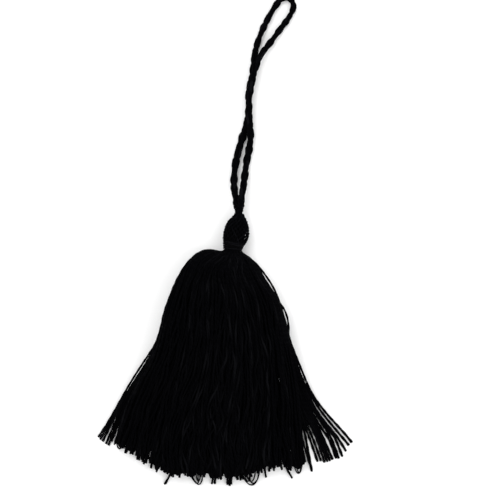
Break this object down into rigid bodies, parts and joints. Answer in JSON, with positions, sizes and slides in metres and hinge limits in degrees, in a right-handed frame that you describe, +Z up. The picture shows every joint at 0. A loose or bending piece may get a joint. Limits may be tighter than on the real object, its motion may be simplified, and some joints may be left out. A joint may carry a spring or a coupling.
{
  "type": "tassel",
  "caption": "Black cotton thread tassel: twisted cord loop, netted oval head, bound neck and a full bell-shaped skirt with splayed side threads, lying flat.",
  "frame": {"origin": "on the surface the tassel lies on, under the middle of the tassel without its cord", "axes": "+Z up from the surface, +Y from the skirt's hem towards the hanging cord, +X to the right seen from above"},
  "size_m": [0.0696, 0.1345, 0.0135],
  "materials": {
    "skirt_cotton": "matt two-ply cotton thread",
    "binding_cotton": "matt cotton thread, wound tight",
    "net_cotton": "matt knotted cotton thread",
    "cord_cotton": "matt twisted cotton cord"
  },
  "bodies": {
    "skirt": {"front_lock_1": "skirt_cotton", "front_lock_2": "skirt_cotton", "front_lock_3": "skirt_cotton", "front_lock_4": "skirt_cotton", "front_lock_5": "skirt_cotton", "front_lock_6": "skirt_cotton", "back_lock_1": "skirt_cotton", "back_lock_2": "skirt_cotton", "back_lock_3": "skirt_cotton", "back_lock_4": "skirt_cotton", "back_lock_5": "skirt_cotton"},
    "neck": {"neck_threads": "skirt_cotton"},
    "head": {"neck_binding": "binding_cotton", "head_core": "skirt_cotton", "head_net": "net_cotton", "cord_knot": "cord_cotton"},
    "cord_foot": {"cord_collar": "net_cotton"},
    "cord_loop": {"hanging_cord": "cord_cotton"},
    "left_threads": {"left_fan": "skirt_cotton"},
    "right_threads": {"right_fan": "skirt_cotton"}
  },
  "joints": [
    {"name": "head_nod", "type": "hinge", "parent": "skirt", "child": "neck", "pos_m": [0.00165, 0.0252, 0.0035], "axis": [1, 0, 0], "range_deg": [0, 30]},
    {"name": "head_swing", "type": "hinge", "parent": "neck", "child": "head", "pos_m": [0.00165, 0.0252, 0.0035], "axis": [0, 0, 1], "range_deg": [-20, 20]},
    {"name": "cord_swing", "type": "hinge", "parent": "head", "child": "cord_foot", "pos_m": [0.0036, 0.0372, 0.0035], "axis": [0, 0, 1], "range_deg": [-60, 60], "deforming": ["cord_collar"]},
    {"name": "cord_lift", "type": "hinge", "parent": "cord_foot", "child": "cord_loop", "pos_m": [0.0036, 0.0381, 0.0035], "axis": [1, 0, 0], "range_deg": [0, 90], "deforming": ["cord_collar"]},
    {"name": "left_fan_spread", "type": "hinge", "parent": "skirt", "child": "left_threads", "pos_m": [-0.02, 0.0012, 0.0012], "axis": [0, 0, -1], "range_deg": [0, 14]},
    {"name": "right_fan_spread", "type": "hinge", "parent": "skirt", "child": "right_threads", "pos_m": [0.0181, 0.0014, 0.0012], "axis": [0, 0, 1], "range_deg": [0, 12]}
  ]
}
